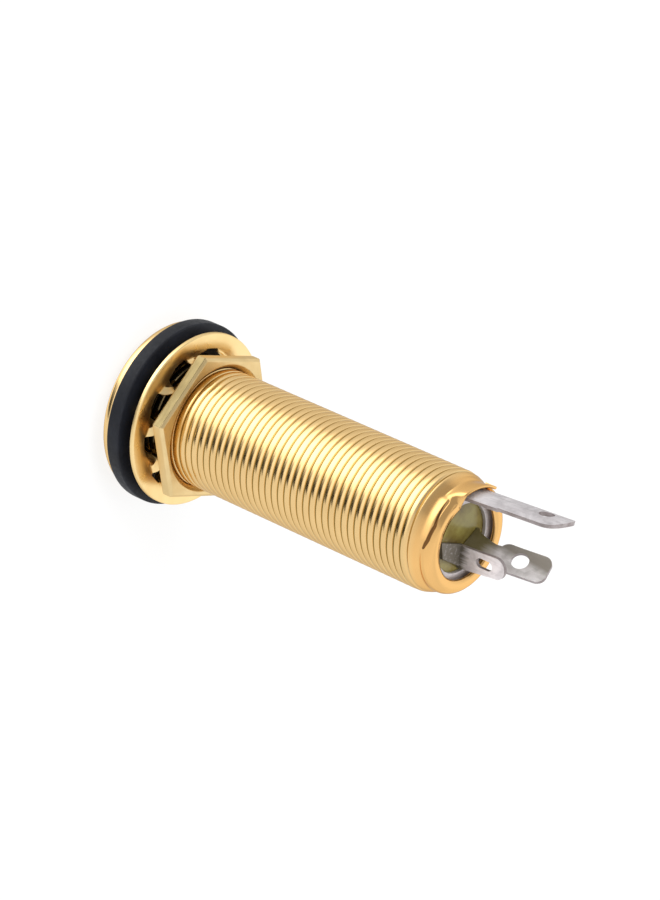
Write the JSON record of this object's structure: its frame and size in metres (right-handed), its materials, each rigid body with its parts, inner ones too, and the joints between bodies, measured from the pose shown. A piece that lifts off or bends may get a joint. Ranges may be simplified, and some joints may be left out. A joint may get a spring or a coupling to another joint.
{
  "type": "endpin output jack",
  "caption": "Long threaded output jack for a 6.35 mm three-contact plug, with a flange, washers, a hex nut and solder lugs at the rolled end.",
  "frame": {"origin": "centre of the flange's flat front face, where the plug goes in", "axes": "+Z along the barrel from the flange to the solder lugs; the sleeve tab is on the -Y side; +X completes the right-handed frame"},
  "size_m": [0.0186, 0.0186, 0.0499],
  "materials": {
    "gold": "gold plated, bright",
    "black_plastic": "satin black",
    "liner": "matt",
    "laminate": "olive laminate, slightly glossy",
    "tinned": "tinned, dull silver",
    "spring": "bright"
  },
  "bodies": {
    "barrel": {"barrel": "gold", "panel_washer": "black_plastic", "insulating_liner": "liner", "front_insulator": "laminate", "rear_insulator": "laminate", "sleeve_terminal": "tinned", "tip_lug": "tinned", "ring_lug": "tinned"},
    "lock_washer": {"lock_washer": "gold"},
    "nut": {"hex_nut": "gold"},
    "tip_contact": {"tip_spring": "spring"},
    "ring_contact": {"ring_spring": "spring"}
  },
  "joints": [
    {"name": "nut_travel", "type": "slide", "parent": "barrel", "child": "lock_washer", "axis": [0, 0, 1], "range_m": [0, 0.0284]},
    {"name": "nut_turn", "type": "hinge", "parent": "lock_washer", "child": "nut", "pos_m": [0, 0, 0.0069], "axis": [0, 0, 1], "range_deg": [0, 12900]},
    {"name": "tip_contact_flex", "type": "hinge", "parent": "barrel", "child": "tip_contact", "pos_m": [-0.0028, 0.00049, 0.037], "axis": [0.1736, 0.9848, 0], "range_deg": [0, 6], "stiffness_Nm_per_rad": 0.3},
    {"name": "ring_contact_flex", "type": "hinge", "parent": "barrel", "child": "ring_contact", "pos_m": [0.00267, 0.00097, 0.037], "axis": [0.342, -0.9397, 0], "range_deg": [0, 2.4], "stiffness_Nm_per_rad": 1}
  ],
  "couplings": [
    {"joint": "nut_turn", "follows": "nut_travel", "rad_per_m": 7915.8}
  ]
}
